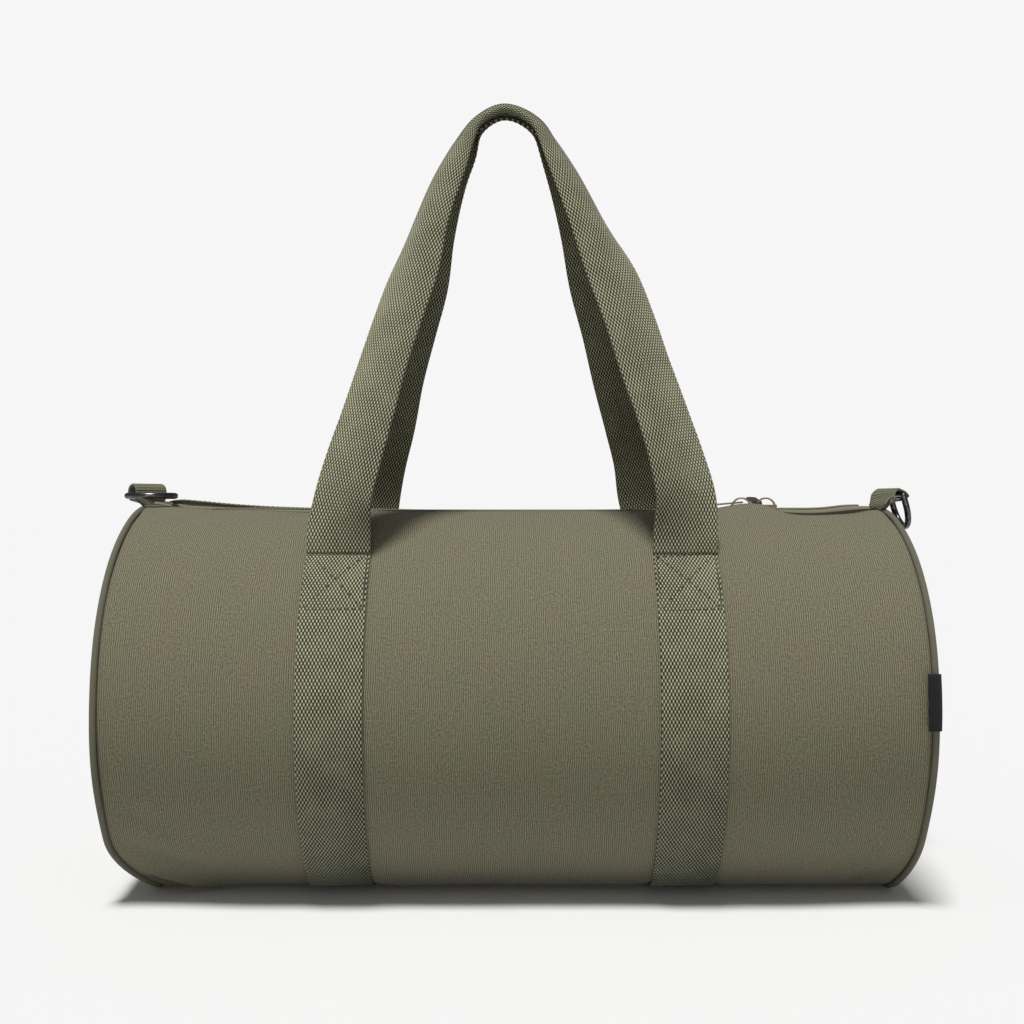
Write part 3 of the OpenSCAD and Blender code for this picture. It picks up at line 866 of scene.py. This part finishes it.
def strap_surface(x, distance, side, lift):
    """Point on a girth strap's outer face, by its distance below the handle's foot."""
    angle = -side * (ATTACH + distance / BODY_R)
    out = barrel_normal(x, angle)
    return barrel(x, angle) + out * (STRAP_GAP + WEB_T + lift), out


def box_stitches(side):
    """The crossed stitch boxes that hold the straps' ends, two on each side of the bag."""
    parts = []
    inset = 1.8 * MM
    box_h = 44 * MM
    slant = 3.0 * MM
    for end in (-1, 1):
        low = end * STRAP_X - STRAP_W / 2 + inset
        high = end * STRAP_X + STRAP_W / 2 - inset
        drop = slant if end > 0 else 0.6 * MM
        corners = [(low, 1.5 * MM + drop), (high, 1.5 * MM), (high, box_h), (low, box_h + 0.3 * drop)]
        lines = [(corners[k], corners[(k + 1) % 4]) for k in range(4)]
        lines += [(corners[0], corners[2]), (corners[1], corners[3])]
        for (x0, d0), (x1, d1) in lines:
            t = np.linspace(0, 1, 24)
            place, out = strap_surface(x0 + (x1 - x0) * t, d0 + (d1 - d0) * t, side, 0.12 * MM)
            parts.append(dashes(place, out, 2.6 * MM, 1.1 * MM))
    starts, ends, outs = (np.concatenate(group) for group in zip(*parts))
    return capsules(at_face("box_stitches", side), starts, ends, outs, 0.75 * MM, 0.55 * MM)


# ---------------------------------------------------------------- zip
COIL_PITCH = 1.45 * MM
# Height of the coil's top along the zip, in millimetres. It sags in the middle, is level wherever a slider
# can stop, and rises to the end seams
LEVEL = CHAIN_Z / MM
RIDGE = [(-243, 250.4), (-234, 250.4), (-228, LEVEL), (-150, LEVEL), (-110, 244.8), (-60, 243.9),
         (60, 243.9), (110, 244.4), (148, LEVEL), (212, LEVEL), (219, 246.4), (232, 247.7), (243, 247.3)]
# Where the coil itself ends, under the two ring tabs
COIL_END = 238 * MM


def ridge_z(x):
    """Height of the coil's top at x."""
    return eased(x, RIDGE, 1, 8 * MM)


def bow(x):
    """How far each half of the chain swings out to pass the sliders' guide posts."""
    left, right = SLIDER_X
    return 1.1 * MM * smooth((x - left + 4.5 * MM) / (6 * MM)) * smooth((right + 4.5 * MM - x) / (6 * MM))


# Section of each side's tape, in millimetres from the zip's middle: y, share of the way from the hem's
# height to the coil's, and rise. The back one shows above the front hem, so it slopes more gently
TAPE_SECTION = {
    -1: [(14, 0, -0.9), (10.5, 0, -0.35), (8.2, 0, -0.05), (7.0, 0.06, 0.1), (6.3, 0.30, 0.15),
         (5.4, 0.62, 0.15), (4.5, 0.88, 0.1), (3.3, 1, 0.05), (2.2, 1, 0), (1.2, 1, 0)],
    1: [(14, 0, -0.4), (13.2, 0, 0.9), (12.2, 0.05, 1.5), (10.6, 0.22, 1.3), (9.0, 0.50, 0.8),
        (7.6, 0.78, 0.4), (6.4, 0.95, 0.1), (5.4, 1, 0), (2.8, 1, 0), (1.2, 1, 0)],
}


def zip_tape(side):
    """One side of the tape: sewn under the cloth's edge, and rising to carry the coil."""
    xs = np.linspace(-BODY_END + 2 * MM, BODY_END - 2 * MM, 400)
    hem = barrel(xs, -side * SLOT + 0 * xs)[:, 2] - CLOTH_T - 0.5 * MM
    top = ridge_z(xs) - 1.5 * MM
    points, uv = [], []
    for y, share, crown in TAPE_SECTION[side]:
        wave = 0.15 * MM * np.sin(90 * xs + side) * share
        height = hem * (1 - share) + top * share + crown * MM + wave
        points.append(np.stack([xs, side * (y * MM + bow(xs) * 0.3 * share), height], 1))
        uv.append(np.stack([np.full_like(xs, y * MM), xs], 1))
    obj = grid_object(at_face("zip_tape_cloth", side), np.stack(points, 1), np.stack(uv, 1))
    if obj.data.polygons[10].normal.z < 0:
        obj.data.flip_normals()
    return thickened(obj, 0.5 * MM)


def zip_coil(side):
    """The nylon coil of one side: rounded turns that mesh with the other side's at the middle. Past its
    stops it runs on into the end seams."""
    count = int(2 * COIL_END / COIL_PITCH)
    x = -COIL_END + (np.arange(count) + (0.25 if side < 0 else 0.75)) * COIL_PITCH
    shift = bow(x)
    z = ridge_z(x) - 1.0 * MM
    head = np.stack([x + 0.15 * MM, side * (shift - 0.75 * MM), z], 1)
    heel = np.stack([x - 0.15 * MM, side * (shift + 2.9 * MM), z], 1)
    up = np.tile(np.array([0, 0, 1.0]), (count, 1))
    return capsules(at_face("zip_coil", side), head, heel, up, 1.3 * MM, 2.0 * MM)


def end_stop(side):
    """The metal stop crimped over both sides of the coil."""
    low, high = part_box(at_end("zip_stop", side))
    middle = (low.x + high.x) / 2
    half = Vector((high.x - low.x, high.y - low.y, high.z - low.z)) / 2
    work = bmesh.new()
    bmesh.ops.create_cube(work, size=2)
    bmesh.ops.scale(work, vec=half, verts=work.verts)
    top = float(ridge_z(middle)) - 0.5 * MM
    bmesh.ops.translate(work, vec=(middle, 0, top - half.z), verts=work.verts)
    mesh = bpy.data.meshes.new(at_end("zip_crimp", side))
    work.to_mesh(mesh)
    work.free()
    return linked(mesh.name, mesh)


def edge_stitches(side):
    """The line of stitches that holds the cloth's edge down on the zip tape."""
    x = np.linspace(-BODY_END + 12 * MM, BODY_END - 12 * MM, 500)
    angle = -side * (SLOT + 2.6 * MM / BODY_R)
    place = barrel(x, angle + 0 * x)
    out = barrel_normal(x, angle + 0 * x)
    starts, ends, outs = dashes(place + out * 0.1 * MM, out, 2.5 * MM, 0.9 * MM)
    return capsules(at_face("zip_stitches", side), starts, ends, outs, 0.6 * MM, 0.5 * MM)


# ---------------------------------------------------------------- tabs and label
# Route of each tab's webbing, in millimetres from the middle of its ring's bar: outwards along the bag,
# towards the front, up; then how far the front end of its width is turned outwards, in degrees
TAB_ROUTE = {
    -1: [(-2.9, 8, -8.5, 5), (-2.2, 5, -6.0, 24), (-2.3, 3.4, -3.6, 40), (-3.1, 3.1, -0.6, 45),
         (-3.5, 3.5, 2.2, 45), (-3.1, 3.1, 5.0, 45), (-1.6, 1.6, 7.0, 45), (0.3, -0.3, 7.7, 45),
         (2.2, -2.2, 6.8, 45), (3.6, -3.6, 4.4, 45), (3.9, -3.9, 1.4, 45), (3.3, -3.3, -1.4, 45),
         (2.0, -1.0, -4.0, 38), (0.0, 3.0, -6.4, 20), (-1.2, 8, -8.5, 5)],
    1: [(-14.4, 12, -10.5, 0), (-14.0, 10, -6.5, 10), (-12.0, 7, -2.0, 22), (-10.2, 5, 2.2, 24),
        (-7.2, 3.5, 4.4, 20), (-3.4, 2, 3.8, 12), (0.3, 1, 2.7, 5), (2.4, 0, 0.7, 1), (1.9, 0, -1.7, 0),
        (-0.6, 0, -2.7, 0), (-5.0, 1, -4.0, 2), (-9.0, 5, -6.0, 2), (-11.8, 9, -8.0, 0),
        (-13.4, 12, -11.0, 0)],
}
TAB_T = 1.5 * MM


def ring_tab(side):
    """A loose loop of ribbed webbing: up from the end seam, over the D-ring's bar and back down."""
    tab_low, tab_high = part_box("ring_tab_right")
    width = tab_high.y - tab_low.y - 2 * MM
    stations = [(*(RING_BAR[side] + np.array([side * out, -front, up]) * MM), turn)
                for out, front, up, turn in TAB_ROUTE[side]]
    step = 0.8 * MM
    line = flowing(stations, step)
    path, turn = line[:, :3], np.radians(line[:, 3])
    across = np.stack([side * np.sin(turn), -np.cos(turn), 0 * turn], 1)
    out = unit(np.cross(tangents(path), across))
    across = unit(np.cross(out, tangents(path)))
    s = np.linspace(-width / 2, width / 2, 27)
    edge = np.clip((width / 2 - np.abs(s)) / (0.9 * MM), 0, 1)
    half_t = TAB_T / 2 * (0.5 + 0.5 * np.sqrt(1 - (1 - edge) ** 2))
    layers = []
    flat = path[:, None] + across[:, None] * s[None, :, None]
    for sign in (1, -1):
        layer = flat + out[:, None] * (sign * half_t)[None, :, None]
        layers.append(layer if sign > 0 else layer[:, ::-1])
    run = step * np.arange(len(path))
    u = np.concatenate([s, s[::-1], s[:1]])
    uv = np.stack(np.broadcast_arrays(u[None], run[:, None]), -1)
    return grid_object(at_end("tab_webbing", side), np.concatenate(layers, 1), uv, wrap_cols=True, caps=True)


def label_tag():
    """A plain folded woven tag, caught in the end seam and lying forward over the piping."""
    low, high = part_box("side_label")
    zs = np.linspace(low.z, high.z, 22)
    front = -(RIM_R + 1.3 * MM)
    xs = np.linspace(low.x + 0.5 * MM, high.x - 1.0 * MM, 10)
    rows = []
    for z in zs:
        drop = RIM_R - math.sqrt(max(RIM_R ** 2 - (z - RIM_Z) ** 2, 0))
        outer = [(x, front + drop - 0.5 * MM - 0.8 * MM * math.sin((x - low.x) / (high.x - low.x) * math.pi))
                 for x in xs]
        fold = [(high.x - 0.25 * MM, front + drop - 0.1 * MM)]
        inner = [(x, y + 1.0 * MM) for x, y in outer[::-1]]
        rows.append([(x, y, z) for x, y in outer + fold + inner])
    points = np.array(rows)
    run = np.linspace(0, 20 * MM, points.shape[1])
    uv = np.stack(np.broadcast_arrays(run[None], zs[:, None]), -1)
    return thickened(grid_object("label_tag", points, uv), 0.35 * MM)


# ---------------------------------------------------------------- stage
CAMERA_PLACE = (0, -0.880, 0.242)
CAMERA_LENS = 45.1
CAMERA_SENSOR = 36
# Brightness of the backdrop as the camera sees it, and of the sky that lights the bag
PAPER = 0.924
SKY = 0.15
# Paleness of the floor as the camera sees it, and as the light that it throws back sees it
FLOOR_SEEN = 0.868
FLOOR_BOUNCE = 0.66
FLOOR_HALF = 30


def make_camera():
    """A level camera in front of the bag, just below the top of its barrel."""
    camera_data = bpy.data.cameras.new("camera")
    camera_data.sensor_width = CAMERA_SENSOR
    camera_data.lens = CAMERA_LENS
    camera_data.clip_end = 50
    camera = linked("camera", camera_data)
    camera.location = CAMERA_PLACE
    camera.rotation_euler = (math.radians(90), 0, 0)
    bpy.context.scene.camera = camera


def make_world():
    """A pale backdrop for the camera, with a dimmer soft sky that lights the bag."""
    world = bpy.data.worlds.new("studio")
    world.use_nodes = True
    nodes, links = world.node_tree.nodes, world.node_tree.links
    back = nodes["Background"]
    back.inputs["Color"].default_value = (1, 1, 1, 1)
    back.inputs["Strength"].default_value = SKY
    seen = nodes.new("ShaderNodeBackground")
    seen.inputs["Color"].default_value = (PAPER, PAPER, PAPER, 1)
    path = nodes.new("ShaderNodeLightPath")
    mix = nodes.new("ShaderNodeMixShader")
    links.new(path.outputs["Is Camera Ray"], mix.inputs[0])
    links.new(back.outputs[0], mix.inputs[1])
    links.new(seen.outputs[0], mix.inputs[2])
    links.new(mix.outputs[0], nodes["World Output"].inputs["Surface"])
    bpy.context.scene.world = world


def make_sun(name, direction, strength, soft):
    """A distant light that shines in a direction. soft is its width in degrees."""
    data = bpy.data.lights.new(name, "SUN")
    data.energy = strength
    data.angle = math.radians(soft)
    sun = linked(name, data)
    sun.rotation_euler = Vector(direction).to_track_quat("-Z", "Y").to_euler()


def make_floor():
    """A plain floor."""
    mesh = bpy.data.meshes.new("floor")
    corners = [(x * FLOOR_HALF, y * FLOOR_HALF, 0) for x, y in ((-1, -1), (1, -1), (1, 1), (-1, 1))]
    mesh.from_pydata(corners, [], [(0, 1, 2, 3)])
    floor = linked("floor", mesh)
    s = Shader("floor")
    seen = s.add("ShaderNodeLightPath").outputs["Is Camera Ray"]
    color = s.mix(seen, (FLOOR_BOUNCE,) * 3, (FLOOR_SEEN,) * 3)
    dress(floor, s.finish(color, 1.0, Specular_IOR_Level=0.0))


# ---------------------------------------------------------------- build
def build():
    canvas = canvas_material("canvas")
    web = webbing_material()
    piping_cloth = cloth_strip_material("piping_cloth", (0.20, 0.19, 0.13), (0.09, 0.085, 0.055), 1.1)
    tab_cloth = ribbed_material("tab_webbing", (0.25, 0.245, 0.16), (0.06, 0.06, 0.036), 1.8)
    # Painted shade: the front tape is coloured dark past 5.55 mm, where the cloth's hem shadows it
    tape_cloth = ribbed_material("zip_tape", (0.29, 0.28, 0.19), (0.16, 0.155, 0.10), 1.0,
                                 shade=(0.03, 0.028, 0.018), margin=5.55)
    open_tape = ribbed_material("zip_tape_open", (0.29, 0.28, 0.19), (0.16, 0.155, 0.10), 1.0)
    coil_nylon = plastic_material("zip_coil", (0.30, 0.285, 0.195), (0.20, 0.19, 0.13))
    thread = thread_material("box_thread", (0.055, 0.056, 0.034), (0.025, 0.026, 0.016))
    edge_thread = thread_material("edge_thread", (0.13, 0.125, 0.08), (0.08, 0.075, 0.05))
    brass = metal_material("zip_metal", (0.042, 0.031, 0.020), (0.26, 0.19, 0.11), 0.32)
    gunmetal = metal_material("ring_metal", (0.10, 0.10, 0.105), (0.36, 0.36, 0.37), 0.28)
    black = cloth_strip_material("label_cloth", (0.02, 0.02, 0.022), (0.006, 0.006, 0.007), 0.8)
    cotton = cloth_strip_material("piping_core", (0.7, 0.66, 0.56), (0.5, 0.46, 0.38), 1.5)
    binding = ribbed_material("binding_tape", (0.05, 0.048, 0.035), (0.02, 0.02, 0.015), 0.9)

    for side, word in FACES:
        cloth = body_half(side)
        blend_to_lip(cloth, side)
        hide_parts(f"mouth_{word}", "body_panel")
        dress(cloth, canvas)
        tape = zip_tape(side)
        blend_to_lip(tape, side)
        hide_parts(f"zip_tape_{word}")
        dress(tape, tape_cloth if side < 0 else open_tape)
        coil = zip_coil(side)
        blend_to_lip(coil, side)
        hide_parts(f"zip_chain_{word}")
        dress(coil, coil_nylon)
        seam = edge_stitches(side)
        blend_to_lip(seam, side)
        dress(seam, edge_thread)
        handle = handle_webbing(side)
        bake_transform(handle, "root", f"handle_{word}", start=(0, side * HINGE_Y, HINGE_Z - 2 * MM),
                 end=(0, side * HINGE_Y, HINGE_Z + 20 * MM))
        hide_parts(f"handle_{word}")
        dress(handle, web)
        boxes = box_stitches(side)
        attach(boxes, "root")
        dress(boxes, thread)

    for side, word in ENDS:
        end = fixed(end_cloth(side), f"end_panel_{word}", canvas)
        fixed(piping_tube(side), f"piping_{word}", piping_cloth)
        fixed(piping_core(side), f"piping_cord_{word}", cotton)
        fixed(seam_tape(side), f"seam_binding_{word}", binding)
        stop = fixed(end_stop(side), f"zip_stop_{word}", brass)
        round_edges(stop, 0.5 * MM)
        fixed(girth_strap(side), f"girth_strap_{word}", web)
        fixed(ring_tab(side), f"ring_tab_{word}", tab_cloth)
        dress(frame["nodes"][f"d_ring_{word}"], gunmetal)
        for part in ("slider", "pull"):
            node = frame["nodes"][f"{part}_{word}"]
            dress(node, brass)
            round_edges(node, 0.25 * MM)

    fixed(label_tag(), "side_label", black)


def fixed(obj, cad_name, material):
    """Fixes a piece to the bag's body in the place of its CAD node."""
    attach(obj, "root")
    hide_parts(cad_name)
    return dress(obj, material)


def round_edges(node, width):
    """Rounds the sharp edges of a small metal CAD part. The part's own mesh isn't touched."""
    bevel = node.modifiers.new("rounded", "BEVEL")
    bevel.width = width
    bevel.segments = 3
    bevel.limit_method = "ANGLE"
    bevel.angle_limit = math.radians(40)


make_camera()
make_world()
make_sun("key", (0.08, 0.31, -1.0), 2.95, 13)
make_sun("fill", (0.0, 1.0, -0.12), 0.44, 20)
make_floor()
build()
bpy.context.scene.view_settings.view_transform = "Standard"
